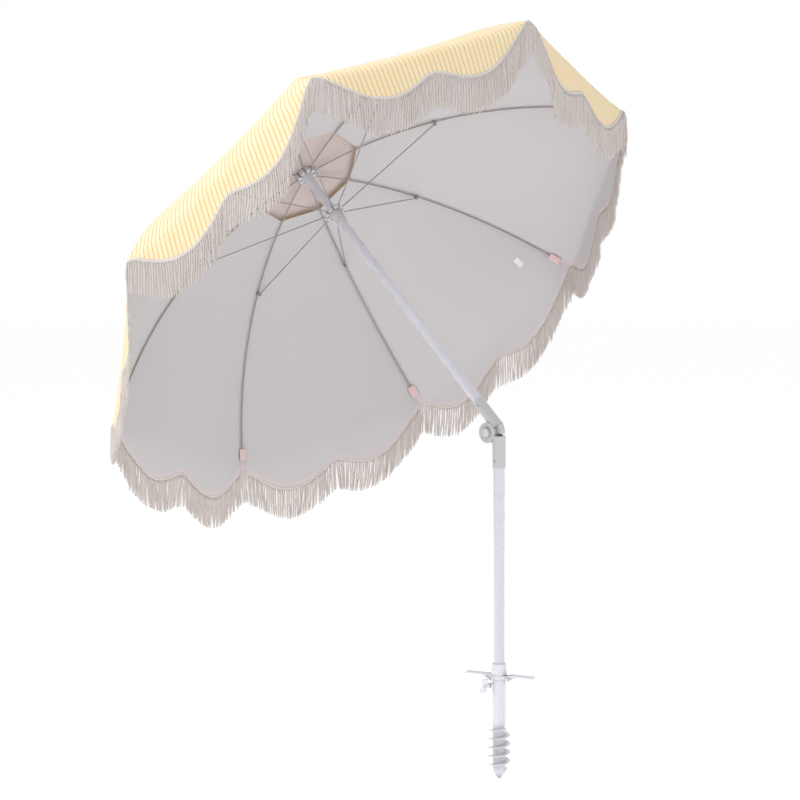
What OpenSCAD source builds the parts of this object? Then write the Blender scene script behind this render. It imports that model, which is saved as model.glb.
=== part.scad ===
// Beach umbrella on a screw-in sand anchor, with a push-button tilt knuckle,
// eight bowed ribs and a scalloped, fringed canopy with a vent cap.
// The origin is the anchor's point, +Z runs up the lower pole, and the canopy
// leans towards -X about a hinge that lies along Y.

/* [Pose] */
// Lean of the upper pole from upright, in degrees
rest_tilt = 47.5; // [0:0.5:47.5]

/* [Sand anchor] */
// Height of the anchor from its point to the top of the collar
anchor_h = 318; // [280:1:420]
// Wall of the anchor tube
anchor_wall = 1.9; // [1.8:0.1:5]
// Wall of the collar at the top
collar_wall = 4.9; // [4.5:0.1:8]
// Height of the collar
collar_h = 31; // [26:1:40]
// Height of the solid cone at the bottom
cone_h = 17; // [12:1:40]
// Height of the bore's floor above the point
bore_floor = 58; // [40:1:90]
// Width of the screw flight beyond the tube
auger_w = 14; // [8:0.5:25]
// Rise of the flight in one turn
auger_pitch = 23.6; // [18:0.2:32]
// Number of turns of the flight
auger_turns = 5; // [3:1:6]
// Thickness of the flight
auger_t = 3; // [2:0.5:5]
// Number of lengthwise grip ridges on the tube
ridge_count = 8; // [6:1:12]

/* [Anchor handles] */
// Length of a handle from its pin to its end
handle_len = 78; // [60:1:110]
// Half of the angle that a handle's shell spans, in degrees
handle_half_angle = 38; // [30:1:42]
// Wall of a handle's shell
handle_t = 2.5; // [2:0.5:4]
// Direction of the first handle, in degrees from +X
handle_azimuth = 19; // [-30:1:60]
// Diameter of a handle's hinge pin
handle_pin_d = 3; // [2.5:0.5:4]

/* [Clamp screw] */
// Direction of the clamp screw, in degrees from +X
clamp_azimuth = 245; // [235:1:265]
// Height of the clamp screw above the point
clamp_z = 258; // [250:1:262]
// Diameter of the clamp stud
clamp_d = 6; // [5:1:8]
// Width of the wing head
wing_w = 44; // [28:1:44]

/* [Poles] */
// Outer diameter of the lower pole
lower_pole_d = 32; // [28:0.1:42]
// Wall of the lower pole
lower_pole_t = 1.2; // [1:0.1:2]
// Height of the knuckle sleeve's lower edge above the anchor's point
knuckle_bottom = 860; // [700:1:1100]
// Outer diameter of the upper pole
upper_pole_d = 28; // [22:0.1:34]
// Wall of the upper pole
upper_pole_t = 1; // [0.8:0.1:1.5]
// Length of the upper pole
upper_pole_len = 1032; // [900:1:1250]
// Clearance of the lower pole in the anchor, on the radius
pole_gap = 0.1; // [0.05:0.05:0.3]

/* [Tilt knuckle] */
// Height of the tilt hinge above the knuckle sleeve's lower edge
hinge_rise = 96; // [92:1:120]
// Distance of the tilt hinge beyond the lower pole's surface
hinge_beyond = 14; // [13:0.5:20]
// Radius of the round ears at the hinge
ear_r = 29; // [27:0.5:29]
// Half of the width over the ears
ear_half = 18; // [17:0.5:20]
// Half of the tongue's thickness
tongue_half = 8; // [6:0.5:8]
// Diameter of the hinge bolt
bolt_d = 8; // [6:1:9]
// Diameter of the push button
button_d = 25; // [22:0.5:26]
// Travel of the push button
button_travel = 4; // [3:0.5:4]

/* [Canopy frame] */
// Number of ribs
rib_count = 8; // [8]
// Radius of the arc that each rib is bowed to
rib_arc_r = 1171.6; // [1000:1:1500]
// Distance of a rib's tip from the pole's axis
rib_tip_r = 862; // [780:1:880]
// Diameter of a rib rod
rib_d = 4.5; // [4:0.5:5]
// Diameter of a stretcher rod
stretcher_d = 4; // [3.5:0.5:4]
// Distance of the rib and stretcher pivots beyond the upper pole's surface
ring_beyond = 10; // [9:0.5:14]
// Distance of the stretcher's pivot on the rib from the pole's axis
bracket_r = 419; // [360:1:460]
// Drop of the stretcher's pivot below the rib
bracket_drop = 9; // [8:0.5:12]
// Diameter of the pivot pins and ring wires
pin_d = 2; // [1.8:0.1:2.2]

/* [Canopy] */
// Distance of the hem's points at the ribs from the pole's axis
hem_r = 886; // [870:1:900]
// Distance of the vent opening's edge from the pole's axis
vent_r = 180; // [140:1:220]
// Distance of the vent cap's edge from the pole's axis
cap_r = 300; // [250:1:320]
// Lift of the vent cap's edge above the ribs, beyond its own dome
cap_rise = 40; // [0:1:60]
// Thickness of the cloth
cloth_t = 1.2; // [1:0.1:1.6]
// Depth of the two lobes of a panel's hem
lobe_depth = 76; // [40:1:80]
// Depth of the hem at the middle of a panel
mid_depth = 73; // [40:1:90]
// Sag of the cloth between two ribs
panel_sag = 10; // [0:1:20]
// Length of the fringe
fringe_len = 105; // [60:1:130]

/* [Hidden] */
$fn = 64;

// Colours
white_plastic = "#E8E8F0";
white_paint = "#E9E8EE";
grey_plastic = "#C9C9CB";
wire_grey = "#A9A7A4";
zinc = "#B9BBBE";
brass = "#C8A24A";
cloth_yellow = "#F6DC9C";
fringe_cream = "#EFE3DA";

// Fits
run_gap = 0.05;
free_gap = 0.4;
pin_hole_gap = 0.25;

// Sand anchor
lower_pole_r = lower_pole_d / 2;
bore_r = lower_pole_r + pole_gap;
anchor_r = bore_r + anchor_wall;
collar_r = bore_r + collar_wall;
collar_z = anchor_h - collar_h;
ridge_r = 2;
ridge_reach = anchor_r + 0.9;
auger_root = anchor_r - 0.5;
auger_r = anchor_r + auger_w;
auger_z = cone_h + 4 + auger_t / 2;
auger_steps = 22;

// Hinge ring and handles: the handles hug the collar when they fold up
ring_wall = 1.8;
handle_z = collar_z - 6;
handle_ring_r = ridge_reach + 0.1 + ring_wall;
handle_inner_r = collar_r + 0.6;
handle_outer_r = handle_inner_r + handle_t;
handle_pin_x = handle_outer_r;
handle_barrel_r = 3.8;
handle_barrel_half = 11;
lug_t = 3;
lug_y = handle_barrel_half + 0.4;

// Clamp screw
boss_r = 8;
boss_end = anchor_r + 10;
insert_r = 5.5;
wing_start = boss_end + 2.5;
wing_hub_len = 12;
wing_t = 5;
wing_depth = 22;
wing_roll = 65;

// Lower pole and its plug
plug_floor = bore_floor + 1;
plug_flange = 4;
plug_depth = 26;
pole_bottom = plug_floor + plug_flange;

// Tilt hinge
hinge_z = knuckle_bottom + hinge_rise;
hinge_offset = lower_pole_r + hinge_beyond;
tongue_r = hinge_offset + lower_pole_r - 0.5;
slot_r = tongue_r + 0.7;
slot_half = tongue_half + free_gap;
shoulder = -8.4;
skirt = shoulder + 0.4;
lower_sleeve_r = lower_pole_r + 2.4;
upper_pole_r = upper_pole_d / 2;
upper_sleeve_r = upper_pole_r + 3;
sleeve_fit = 0.05;
pole_top = hinge_z - slot_r - 3;
upper_sleeve_top = 92;
upper_pole_start = 42;
disc_r = ear_r - 0.6;
concave_r = ear_r + 1.2;

// Push button: a cap over the bolt's nut, in a pocket of the near ear
pocket_floor = ear_half - 8;
button_r = button_d / 2;
button_out = ear_half + 8;
button_in = pocket_floor + button_travel + 1;
button_wall = 3;
nut_t = 4;
bolt_head_t = 3.5;
screw_d = 3;
screw_head_d = 6;
lower_screw_z = knuckle_bottom + 18;
upper_screw_s = 76;

// Canopy frame: heights are measured along the upper pole from the hinge's foot
ring_r = upper_pole_r + ring_beyond;
crown_z = upper_pole_start + upper_pole_len - 2;
rib_apex = crown_z + ring_r * ring_r / (2 * rib_arc_r);
bracket_z = rib_height(bracket_r) - bracket_drop;
runner_z = 2 * bracket_z - crown_z;
tip_angle = asin(rib_tip_r / rib_arc_r);
crown_angle = asin(ring_r / rib_arc_r);
eye_r = 3.2;
eye_half = 2;
slot_w = 2 * eye_half + 0.8;
hub_r = ring_r + 6;
hub_half = 9;
slot_floor_r = ring_r - 4.5;
ring_wire_r = pin_d / 2;
runner_bore_r = upper_pole_r + free_gap;
runner_sleeve_r = upper_pole_r + 4;
runner_half = 6;
runner_len = 44;

// Runner catch, in a window of the runner's sleeve between two stretchers
catch_turn = 180 / rib_count;
catch_z = runner_z - runner_half - 18;
catch_half_h = 13;
catch_w = 8;
catch_pin_x = runner_bore_r + 1.9;
catch_inner = upper_pole_r + 2.2;
catch_outer = runner_sleeve_r + 2;
catch_nose = upper_pole_r + 0.2;

// Cloth
cloth_lift = 5.5;
cap_lift = 10;
seam_gap = 0.3;
cusp_angle = asin(hem_r / rib_arc_r);
vent_angle = asin(vent_r / rib_arc_r);
panel_cols = 12;
panel_rows = 12;
hem_rows = 4;
hem_min = 6;
hem_soft = 0.28;
hang = 0.92;
bend_len = 35;
down = [-sin(rest_tilt), 0, -cos(rest_tilt)];
hem_stiff = 0.6;
hem_side = 305;
hem_spread = 0.6;
fringe_t = 2.4;
fringe_gap = 4;
strap_panel = 6;
strap_len = 70;
strap_w = 22;
strap_t = 1.5;
patch_gap = 1.6;
tag_panel = 3;
tag_len = 34;
tag_w = 20;
tag_t = 0.8;
tag_gap = 2.6;
neck_r = 14.5;
neck_top = crown_z + 17;
cap_neck_z = crown_z + 11;

// ---------------------------------------------------------------- functions

function rib_height(r) = rib_apex - rib_arc_r + sqrt(rib_arc_r * rib_arc_r - r * r);
function unit(v) = v / norm(v);
function total(list, n) = n <= 0 ? [0, 0, 0] : list[n - 1] + total(list, n - 1);

// Point on a dome at a lift above the ribs' arc, at an angle along the arc and an azimuth
function dome(lift, angle, az) =
    let (r = (rib_arc_r + lift) * sin(angle))
    [r * cos(az), r * sin(az), rib_apex - rib_arc_r + (rib_arc_r + lift) * cos(angle)];

// Direction down a rib's arc, away from the crown
function slope(angle, az) = [cos(angle) * cos(az), cos(angle) * sin(az), -sin(angle)];

// Outward direction across the dome
function outward(angle, az) = [sin(angle) * cos(az), sin(angle) * sin(az), cos(angle)];

// Depth of the hem below the straight line between two ribs, v from 0 to 1 across
function hem_depth(v) =
    hem_min + lobe_depth * (sqrt(pow(sin(360 * v), 2) + hem_soft * hem_soft) - hem_soft)
    + mid_depth * sin(180 * v);

// Point of a panel between two ribs, v across and a fraction w down the arc
function panel_point(lift, a0, a1, w, v, az0, az1, sag) =
    let (angle = a0 + (a1 - a0) * w,
         left = dome(lift, angle, az0),
         right = dome(lift, angle, az1),
         gap = seam_gap / norm(right - left),
         part = gap + v * (1 - 2 * gap),
         mid = (az0 + az1) / 2)
    left + part * (right - left) - sag * 4 * v * (1 - v) * sin(90 * w) * outward(angle, mid);

// Direction in which the free hem falls: round one azimuth it is drawn in to the pole
function hem_fall(az) =
    let (share = hem_stiff * max(0, (1 + hem_spread) * cos(az - hem_side) - hem_spread))
    unit((1 - share) * down - share * [0, 0, 1]);

// Direction in which the free hem runs at a distance from the ribs' tips
function hem_way(az, run) =
    let (bend = hang * min(1, run / bend_len))
    unit((1 - bend) * slope(cusp_angle, az) + bend * hem_fall(az));

// Point of the free hem of a panel, v across and row j of hem_rows
function hem_point(lift, v, j, az0, az1) =
    let (az = az0 + (az1 - az0) * v,
         start = panel_point(lift, vent_angle, cusp_angle, 1, v, az0, az1, panel_sag),
         step = hem_depth(v) / hem_rows)
    start + total([for (n = [1:hem_rows]) step * hem_way(az, (n - 0.5) * step)], j);

// Direction across the cloth at a hem point
function hem_normal(v, j, az0, az1) =
    let (az = az0 + (az1 - az0) * v,
         across = [-sin((az0 + az1) / 2), cos((az0 + az1) / 2), 0],
         step = hem_depth(v) / hem_rows)
    unit(cross(hem_way(az, (j - 0.5) * step), across));

// Faces of a closed sheet whose points are all of one side, then all of the other
function sheet_faces(cols, rows) =
    let (n = (cols + 1) * (rows + 1), w = cols + 1)
    concat(
        [for (j = [0:rows - 1], i = [0:cols - 1])
            [j * w + i, (j + 1) * w + i, (j + 1) * w + i + 1, j * w + i + 1]],
        [for (j = [0:rows - 1], i = [0:cols - 1])
            [n + j * w + i, n + j * w + i + 1, n + (j + 1) * w + i + 1, n + (j + 1) * w + i]],
        [for (i = [0:cols - 1]) [i, i + 1, n + i + 1, n + i]],
        [for (i = [0:cols - 1])
            [rows * w + i, n + rows * w + i, n + rows * w + i + 1, rows * w + i + 1]],
        [for (j = [0:rows - 1]) [j * w, n + j * w, n + (j + 1) * w, (j + 1) * w]],
        [for (j = [0:rows - 1])
            [j * w + cols, (j + 1) * w + cols, n + (j + 1) * w + cols, n + j * w + cols]]);

// ------------------------------------------------------------------ helpers

// Frame of the upper pole: Z along the pole, origin at the foot of the tilt hinge
module upper_frame() {
    translate([-hinge_offset, 0, hinge_z])
        rotate([0, -rest_tilt, 0])
            translate([hinge_offset, 0, 0])
                children();
}

// Frame with its origin on the tilt hinge, leaning with the upper pole
module hinge_frame(lean) {
    translate([-hinge_offset, 0, hinge_z])
        rotate([0, -lean, 0])
            children();
}

// Cylinder along Y between two places
module rod_y(r, y0, y1) {
    translate([0, y1, 0])
        rotate([90, 0, 0])
            cylinder(r = r, h = y1 - y0);
}

// Cylinder along X between two places
module rod_x(r, x0, x1) {
    translate([x0, 0, 0])
        rotate([0, 90, 0])
            cylinder(r = r, h = x1 - x0);
}

// Straight rod between two points of the XZ plane
module rod_between(p, q, r) {
    way = q - p;
    translate([p[0], 0, p[1]])
        rotate([0, atan2(way[0], way[1]), 0])
            cylinder(r = r, h = norm(way));
}

// Wire ring around Z
module wire_ring(ring, wire) {
    rotate_extrude()
        translate([ring, 0])
            circle(r = wire, $fn = 24);
}

// Slots and ring channel that the eyes of the ribs or stretchers sit in
module eye_slots(z) {
    for (i = [0:rib_count - 1])
        rotate([0, 0, i * 360 / rib_count])
            translate([slot_floor_r, -slot_w / 2, z - 2 * hub_half])
                cube([hub_r, slot_w, 4 * hub_half]);
    translate([0, 0, z])
        wire_ring(ring_r, ring_wire_r + run_gap);
}

// -------------------------------------------------------------- sand anchor

module anchor_tube() {
    color(white_plastic)
        difference() {
            union() {
                rotate_extrude()
                    polygon([[0, 0], [3, 0], [anchor_r, cone_h], [anchor_r, collar_z],
                             [collar_r, collar_z], [collar_r, anchor_h - 1.5],
                             [collar_r - 1.5, anchor_h], [0, anchor_h]]);
                for (i = [0:ridge_count - 1])
                    rotate([0, 0, handle_azimuth + (i + 0.5) * 360 / ridge_count])
                        translate([ridge_reach - ridge_r, 0, auger_z + auger_turns * auger_pitch + 8])
                            cylinder(r = ridge_r, h = collar_z - auger_z - auger_turns * auger_pitch - 8);
                rotate([0, 0, clamp_azimuth])
                    translate([0, 0, clamp_z])
                        rod_x(boss_r, 0, boss_end);
            }
            translate([0, 0, bore_floor])
                cylinder(r = bore_r, h = anchor_h);
            rotate([0, 0, clamp_azimuth])
                translate([0, 0, clamp_z]) {
                    rod_x(insert_r, anchor_r - 1, boss_end + 1);
                    rod_x(clamp_d / 2 + run_gap, 0, boss_end);
                }
        }
}

// Screw flight: one strip of four-cornered rings along a helix
module anchor_auger() {
    steps = auger_turns * auger_steps;
    points = [for (i = [0:steps])
        let (a = 360 * i / auger_steps,
             z = auger_z + auger_pitch * i / auger_steps,
             reach = auger_root + (auger_r - auger_root) * min(1, (i + 4) / auger_steps),
             edge = auger_t / 4)
        for (c = [[auger_root, -auger_t / 2], [reach, -edge], [reach, edge], [auger_root, auger_t / 2]])
            [c[0] * cos(a), c[0] * sin(a), z + c[1]]];
    sides = [for (i = [0:steps - 1], k = [0:3], half = [0, 1])
        half == 0
            ? [4 * i + k, 4 * (i + 1) + (k + 1) % 4, 4 * (i + 1) + k]
            : [4 * i + k, 4 * i + (k + 1) % 4, 4 * (i + 1) + (k + 1) % 4]];
    ends = [[3, 2, 1, 0], [4 * steps, 4 * steps + 1, 4 * steps + 2, 4 * steps + 3]];
    color(white_plastic)
        polyhedron(points = points, faces = concat(sides, ends), convexity = 10);
}

module handle_ring() {
    color(white_plastic)
        translate([0, 0, handle_z])
            difference() {
                union() {
                    translate([0, 0, -6])
                        cylinder(r = handle_ring_r, h = 11);
                    for (side = [0, 180], y = [lug_y, -lug_y - lug_t])
                        rotate([0, 0, handle_azimuth + side])
                            translate([10, y, -4.5])
                                cube([handle_pin_x - 10 + 3.8, lug_t, 9]);
                }
                translate([0, 0, -7])
                    cylinder(r = ridge_reach + 0.1, h = 13);
                rotate([0, 0, handle_azimuth])
                    for (x = [handle_pin_x, -handle_pin_x])
                        translate([x, 0, 0]) {
                            rod_y(handle_pin_d / 2 + run_gap, -30, 30);
                            rod_y(handle_barrel_r + free_gap, -lug_y, lug_y);
                        }
            }
}

// A handle in its open place, pointing along +X from its pin
module handle() {
    color(white_plastic)
        translate([handle_pin_x, 0, handle_z])
            rotate([0, 90, 0])
                difference() {
                    union() {
                        translate([-handle_pin_x, 0, 6])
                            rotate([0, 0, -handle_half_angle])
                                rotate_extrude(angle = 2 * handle_half_angle)
                                    translate([handle_inner_r, 0])
                                        square([handle_t, handle_len - 6]);
                        rod_y(handle_barrel_r, -handle_barrel_half, handle_barrel_half);
                        translate([-handle_t, -handle_barrel_half, 0])
                            cube([handle_t, 2 * handle_barrel_half, 9]);
                        rotate([90, 0, 0])
                            translate([0, 0, -2])
                                linear_extrude(4)
                                    polygon([[-1, 2], [handle_barrel_r, 0], [14, 0], [-1, 26]]);
                    }
                    rod_y(handle_pin_d / 2 + run_gap, -30, 30);
                }
}

module handle_right() {
    rotate([0, 0, handle_azimuth])
        handle();
}

module handle_left() {
    rotate([0, 0, handle_azimuth + 180])
        handle();
}

module handle_pins() {
    pin_half = lug_y + lug_t + 0.6;
    color(zinc)
        rotate([0, 0, handle_azimuth])
            for (x = [handle_pin_x, -handle_pin_x])
                translate([x, 0, handle_z])
                    rod_y(handle_pin_d / 2, -pin_half, pin_half);
}

module clamp_frame() {
    rotate([0, 0, clamp_azimuth])
        translate([0, 0, clamp_z])
            children();
}

module clamp_insert() {
    color(brass)
        clamp_frame()
            difference() {
                rod_x(insert_r, anchor_r - 1, boss_end - 0.5);
                rod_x(clamp_d / 2 + run_gap, anchor_r - 2, boss_end + 1);
            }
}

module clamp_stud() {
    color(zinc)
        clamp_frame()
            rod_x(clamp_d / 2, bore_r + 0.3, wing_start + wing_hub_len - 2);
}

module clamp_wing() {
    color(white_plastic)
        clamp_frame()
            rotate([wing_roll, 0, 0])
                difference() {
                    union() {
                        rod_x(7, wing_start, wing_start + wing_hub_len);
                        for (side = [0, 180])
                            rotate([side, 0, 0])
                                translate([wing_start + 3, 0, -wing_t / 2])
                                    linear_extrude(wing_t)
                                        offset(r = 2)
                                            offset(delta = -2)
                                                polygon([[0, 0], [2, wing_w / 2],
                                                         [wing_depth, wing_w / 2],
                                                         [wing_depth - 5, 0]]);
                    }
                    rod_x(clamp_d / 2, wing_start - 1, wing_start + wing_hub_len - 2);
                }
}

// --------------------------------------------------- lower pole and knuckle

module lower_pole() {
    color(white_paint)
        difference() {
            translate([0, 0, pole_bottom])
                cylinder(r = lower_pole_r, h = pole_top - pole_bottom);
            translate([0, 0, pole_bottom - 1])
                cylinder(r = lower_pole_r - lower_pole_t, h = pole_top);
            translate([0, 0, lower_screw_z])
                rod_y(screw_d / 2 + run_gap, -lower_pole_r - 1, 0);
        }
}

module pole_end_plug() {
    color(grey_plastic) {
        translate([0, 0, plug_floor])
            cylinder(r = lower_pole_r - 0.1, h = plug_flange);
        translate([0, 0, pole_bottom])
            cylinder(r = lower_pole_r - lower_pole_t - run_gap, h = plug_depth);
    }
}

module lower_knuckle() {
    color(grey_plastic)
        difference() {
            union() {
                translate([0, 0, knuckle_bottom])
                    cylinder(r = lower_sleeve_r, h = hinge_rise + shoulder);
                hinge_frame(0) {
                    rod_y(ear_r, -ear_half, ear_half);
                    rod_y(button_r + 2.2, -ear_half - 1, -ear_half + 1);
                }
            }
            translate([0, 0, knuckle_bottom - 1])
                cylinder(r = lower_pole_r + sleeve_fit, h = pole_top - knuckle_bottom + 1);
            hinge_frame(0) {
                rotate([90, 0, 0])
                    translate([0, 0, -slot_half])
                        linear_extrude(2 * slot_half)
                            union() {
                                circle(r = disc_r + 0.8);
                                intersection() {
                                    circle(r = slot_r);
                                    polygon([[0, 0], 2 * slot_r * [cos(-53), sin(-53)],
                                             [2 * slot_r, 0], [2 * slot_r, 2 * slot_r],
                                             [0, 2 * slot_r]]);
                                }
                            }
                rod_y(bolt_d / 2 + run_gap, -ear_half - 2, ear_half + 1);
                rod_y(button_r + 0.3, -ear_half - 2, -pocket_floor);
            }
            translate([0, 0, lower_screw_z]) {
                rod_y(screw_d / 2 + run_gap, -lower_sleeve_r - 1, 0);
                rod_y(screw_head_d / 2 + 0.1, -lower_sleeve_r - 1, -lower_sleeve_r + 0.8);
            }
        }
}

module hinge_bolt() {
    color(zinc)
        hinge_frame(0) {
            rod_y(bolt_d / 2, -pocket_floor - nut_t - 0.5, ear_half);
            rod_y(bolt_d / 2 + 4, ear_half, ear_half + bolt_head_t);
        }
}

module hinge_nut() {
    color(zinc)
        hinge_frame(0)
            translate([0, -pocket_floor, 0])
                rotate([90, 0, 0])
                    difference() {
                        cylinder(r = bolt_d / 2 + 3, h = nut_t, $fn = 6);
                        translate([0, 0, -1])
                            cylinder(r = bolt_d / 2 + 0.01, h = nut_t + 2);
                    }
}

module push_button() {
    color("#D5D3D8")
        hinge_frame(0)
            rotate([90, 0, 0])
                rotate_extrude()
                    polygon([[0, button_out], [button_r - 2, button_out],
                             [button_r - 0.6, button_out - 0.6], [button_r, button_out - 2],
                             [button_r, button_in], [button_r - button_wall, button_in],
                             [button_r - button_wall, button_out - button_wall],
                             [0, button_out - button_wall]]);
}

// The return spring's outer shape, around the nut
module button_spring() {
    color(zinc)
        hinge_frame(0)
            rotate([90, 0, 0])
                translate([0, 0, pocket_floor])
                    difference() {
                        cylinder(r = button_r - button_wall - 0.3,
                                 h = button_out - button_wall - pocket_floor);
                        translate([0, 0, -1])
                            cylinder(r = button_r - button_wall - 1.5, h = button_out);
                    }
}

// Fixing screw with its head on the -Y side of a sleeve
module fixing_screw(sleeve_r, reach) {
    color(zinc) {
        rod_y(screw_d / 2, -sleeve_r + 0.8, -reach);
        rod_y(screw_head_d / 2, -sleeve_r - 0.2, -sleeve_r + 0.8);
    }
}

module lower_screw() {
    translate([0, 0, lower_screw_z])
        fixing_screw(lower_sleeve_r, lower_pole_r - 3);
}

// --------------------------------------------------- upper pole and knuckle

module upper_knuckle() {
    color(grey_plastic)
        hinge_frame(rest_tilt)
            difference() {
                union() {
                    difference() {
                        translate([hinge_offset, 0, skirt])
                            cylinder(r = upper_sleeve_r, h = upper_sleeve_top - skirt);
                        rod_y(concave_r, tongue_half, 2 * ear_half);
                        rod_y(concave_r, -2 * ear_half, -tongue_half);
                    }
                    rotate([90, 0, 0])
                        translate([0, 0, -tongue_half])
                            linear_extrude(2 * tongue_half)
                                union() {
                                    circle(r = disc_r);
                                    intersection() {
                                        circle(r = tongue_r);
                                        polygon([[0, 0], 2 * tongue_r * [cos(-50), sin(-50)],
                                                 [2 * tongue_r, 0],
                                                 2 * tongue_r * [cos(45), sin(45)]]);
                                    }
                                }
                }
                translate([hinge_offset, 0, upper_pole_start])
                    cylinder(r = upper_pole_r + sleeve_fit, h = upper_sleeve_top);
                rod_y(bolt_d / 2 + run_gap, -ear_half, ear_half);
                translate([hinge_offset, 0, upper_screw_s]) {
                    rod_y(screw_d / 2 + run_gap, -upper_sleeve_r - 1, 0);
                    rod_y(screw_head_d / 2 + 0.1, -upper_sleeve_r - 1, -upper_sleeve_r + 0.8);
                }
            }
}

module upper_screw() {
    upper_frame()
        translate([0, 0, upper_screw_s])
            fixing_screw(upper_sleeve_r, upper_pole_r - 3);
}

module upper_pole() {
    color(white_paint)
        upper_frame()
            difference() {
                translate([0, 0, upper_pole_start])
                    cylinder(r = upper_pole_r, h = upper_pole_len);
                translate([0, 0, upper_pole_start - 1])
                    cylinder(r = upper_pole_r - upper_pole_t, h = upper_pole_len + 2);
                translate([0, 0, upper_screw_s])
                    rod_y(screw_d / 2 + run_gap, -upper_pole_r - 1, 0);
            }
}

// --------------------------------------------------------- crown and runner

module crown_hub() {
    color(white_plastic)
        upper_frame()
            difference() {
                union() {
                    translate([0, 0, crown_z - hub_half])
                        cylinder(r = hub_r, h = 2 * hub_half);
                    translate([0, 0, crown_z])
                        cylinder(r = neck_r, h = neck_top - crown_z);
                }
                translate([0, 0, crown_z - 2 * hub_half])
                    cylinder(r = upper_pole_r + sleeve_fit,
                             h = upper_pole_start + upper_pole_len - crown_z + 2 * hub_half + 0.5);
                eye_slots(crown_z);
            }
}

module crown_ring() {
    color(zinc)
        upper_frame()
            translate([0, 0, crown_z])
                wire_ring(ring_r, ring_wire_r);
}

module finial_cap() {
    color(white_plastic)
        upper_frame()
            translate([0, 0, cap_neck_z + cloth_t + 0.6])
                rotate_extrude()
                    polygon([[neck_r + run_gap, 0], [24, 0], [24, 3], [21, 7], [14, 11], [6, 13],
                             [0, 13.5], [0, neck_top - cap_neck_z - cloth_t - 0.5],
                             [neck_r + run_gap, neck_top - cap_neck_z - cloth_t - 0.5]]);
}

module runner_hub() {
    color(white_plastic)
        upper_frame()
            difference() {
                union() {
                    translate([0, 0, runner_z - runner_half])
                        cylinder(r = hub_r, h = 2 * runner_half);
                    translate([0, 0, runner_z - runner_half - runner_len + 2])
                        cylinder(r = runner_sleeve_r, h = runner_len);
                    translate([0, 0, runner_z - runner_half - runner_len])
                        cylinder(r = runner_sleeve_r + 1.5, h = 4);
                }
                translate([0, 0, runner_z - runner_len - 20])
                    cylinder(r = runner_bore_r, h = runner_len + 60);
                eye_slots(runner_z);
                rotate([0, 0, catch_turn])
                    translate([0, 0, catch_z]) {
                        translate([upper_pole_r - 2, -catch_w / 2 - 0.3, -catch_half_h - 1])
                            cube([12, catch_w + 0.6, 2 * catch_half_h + 2]);
                        translate([catch_pin_x, 0, 0])
                            rod_y(pin_d / 2 + run_gap, -7, 7);
                    }
            }
}

module runner_ring() {
    color(zinc)
        upper_frame()
            translate([0, 0, runner_z])
                wire_ring(ring_r, ring_wire_r);
}

module runner_catch() {
    color(white_plastic)
        upper_frame()
            rotate([0, 0, catch_turn])
                translate([0, 0, catch_z])
                    difference() {
                        rotate([90, 0, 0])
                            translate([0, 0, -catch_w / 2])
                                linear_extrude(catch_w)
                                    polygon([[catch_inner, -catch_half_h + 3],
                                             [catch_nose, -catch_half_h + 2],
                                             [catch_nose, -catch_half_h],
                                             [catch_outer - 1, -catch_half_h],
                                             [catch_outer - 1, 0], [catch_outer, 4],
                                             [catch_outer, catch_half_h],
                                             [catch_inner, catch_half_h]]);
                        translate([catch_pin_x, 0, 0])
                            rod_y(pin_d / 2 + run_gap, -7, 7);
                    }
}

module catch_pin() {
    color(zinc)
        upper_frame()
            rotate([0, 0, catch_turn])
                translate([catch_pin_x, 0, catch_z])
                    rod_y(pin_d / 2, -6.5, 6.5);
}

// ---------------------------------------------------- ribs and stretchers

// A rib: bowed rod, eye on the crown ring, stretcher bracket with its pin, tip cap
module rib(n) {
    cheek_y = eye_half + 0.4;
    cheek_t = 1.5;
    plate_t = 1;
    bracket_half = 5;
    bracket_turn = asin(bracket_r / rib_arc_r);
    rod_top = bracket_drop * cos(bracket_turn) + rib_d / 2;
    color(wire_grey)
        upper_frame()
            rotate([0, 0, (n - 1) * 360 / rib_count]) {
                difference() {
                    union() {
                        translate([0, 0, rib_apex - rib_arc_r])
                            rotate([90, 0, 0])
                                rotate([0, 0, 90 - tip_angle])
                                    rotate_extrude(angle = tip_angle - crown_angle, $fn = 128)
                                        translate([rib_arc_r, 0])
                                            circle(r = rib_d / 2, $fn = 24);
                        translate([ring_r, 0, crown_z])
                            rod_y(eye_r, -eye_half, eye_half);
                    }
                    translate([ring_r, 0, crown_z])
                        rod_y(ring_wire_r + pin_hole_gap, -10, 10);
                }
                translate([bracket_r, 0, bracket_z])
                    rotate([0, bracket_turn, 0]) {
                        for (y = [cheek_y, -cheek_y - cheek_t])
                            translate([-bracket_half, y, -4])
                                cube([2 * bracket_half, cheek_t, rod_top + plate_t + 4]);
                        for (z = [rod_top - rib_d - plate_t + 0.3, rod_top - 0.2])
                            translate([-bracket_half, -cheek_y - cheek_t, z])
                                cube([2 * bracket_half, 2 * (cheek_y + cheek_t), plate_t]);
                    }
                translate([bracket_r, 0, bracket_z])
                    rod_y(pin_d / 2, -cheek_y - cheek_t, cheek_y + cheek_t);
                translate([rib_tip_r, 0, rib_height(rib_tip_r)])
                    rotate([0, 90 + tip_angle, 0])
                        translate([0, 0, -0.5])
                            cylinder(r1 = rib_d / 2 + 0.9, r2 = rib_d / 2 - 0.6, h = 6.5);
            }
}

// A stretcher between the runner ring and a rib's bracket
module stretcher(n) {
    foot = [ring_r, runner_z];
    head = [bracket_r, bracket_z];
    color(wire_grey)
        upper_frame()
            rotate([0, 0, (n - 1) * 360 / rib_count])
                difference() {
                    union() {
                        rod_between(foot, head, stretcher_d / 2 - 0.1);
                        for (p = [foot, head])
                            translate([p[0], 0, p[1]])
                                rod_y(eye_r - 0.2, -eye_half, eye_half);
                    }
                    for (p = [foot, head])
                        translate([p[0], 0, p[1]])
                            rod_y(pin_d / 2 + pin_hole_gap, -10, 10);
                }
}

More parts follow.
